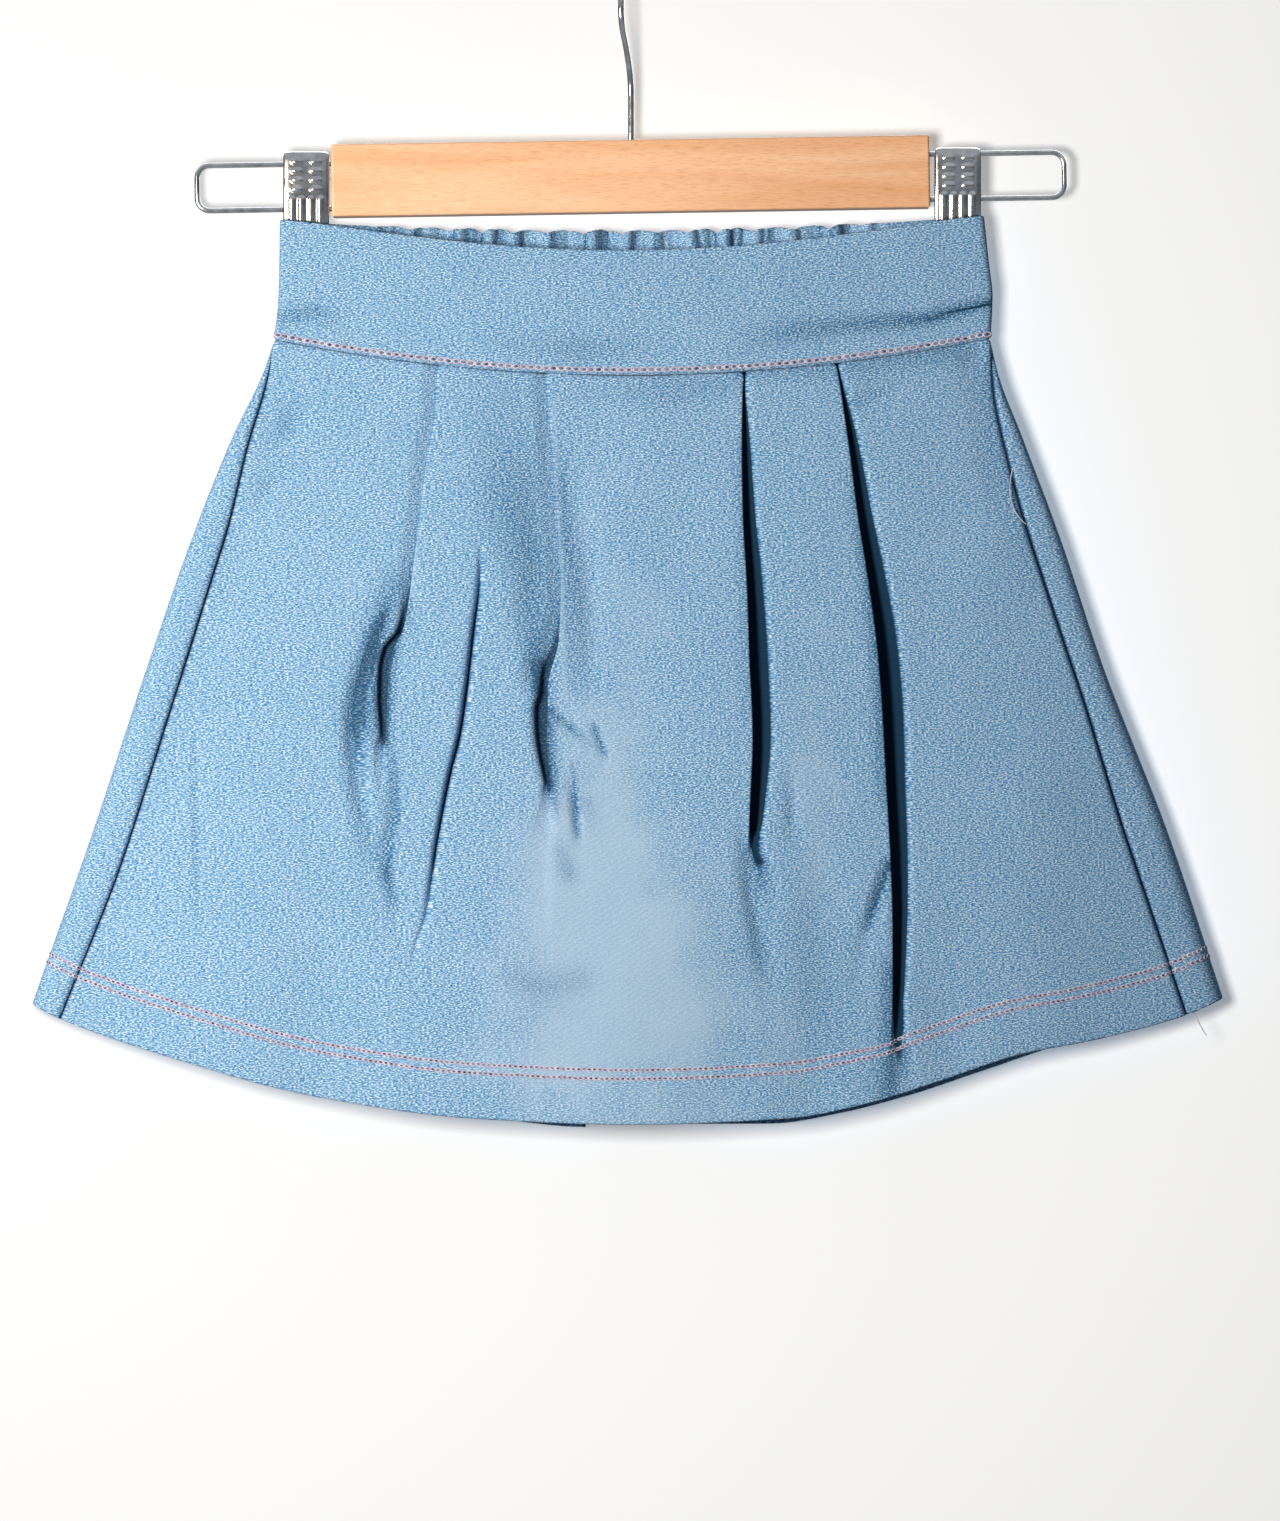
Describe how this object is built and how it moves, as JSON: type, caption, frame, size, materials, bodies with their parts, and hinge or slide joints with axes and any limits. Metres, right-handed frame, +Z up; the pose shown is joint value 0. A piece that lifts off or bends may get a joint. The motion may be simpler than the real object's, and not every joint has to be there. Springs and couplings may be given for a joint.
{
  "type": "denim skirt on a clip hanger",
  "caption": "Child's A-line denim skirt with a wide waistband, knife pleats and a gathered elastic back, clipped to a wooden bar hanger with wire end loops and a hook.",
  "frame": {"origin": "the bearing point, on the underside of the hook's round top, where a rail or nail carries the hanger", "axes": "+Z up, the front of the skirt faces -Y, +X runs to the right along the bar seen from the front"},
  "size_m": [0.4773, 0.0473, 0.4648],
  "materials": {
    "denim": "light blue stretch denim, fine twill with pale flecks, matt",
    "denim_band": "doubled light blue stretch denim, fine twill, matt",
    "lacquered_wood": "pale hardwood under satin clear lacquer",
    "plated_steel": "bright nickel-chrome plate"
  },
  "bodies": {
    "root": {"front_waistband": "denim_band", "back_waistband": "denim_band", "front_panel": "denim", "back_panel_left": "denim", "back_panel_right": "denim", "hanger_bar": "lacquered_wood", "hanger_loop_left": "plated_steel", "hanger_loop_right": "plated_steel", "hanger_hook": "plated_steel", "clip_left": "plated_steel", "clip_right": "plated_steel"}
  },
  "joints": []
}
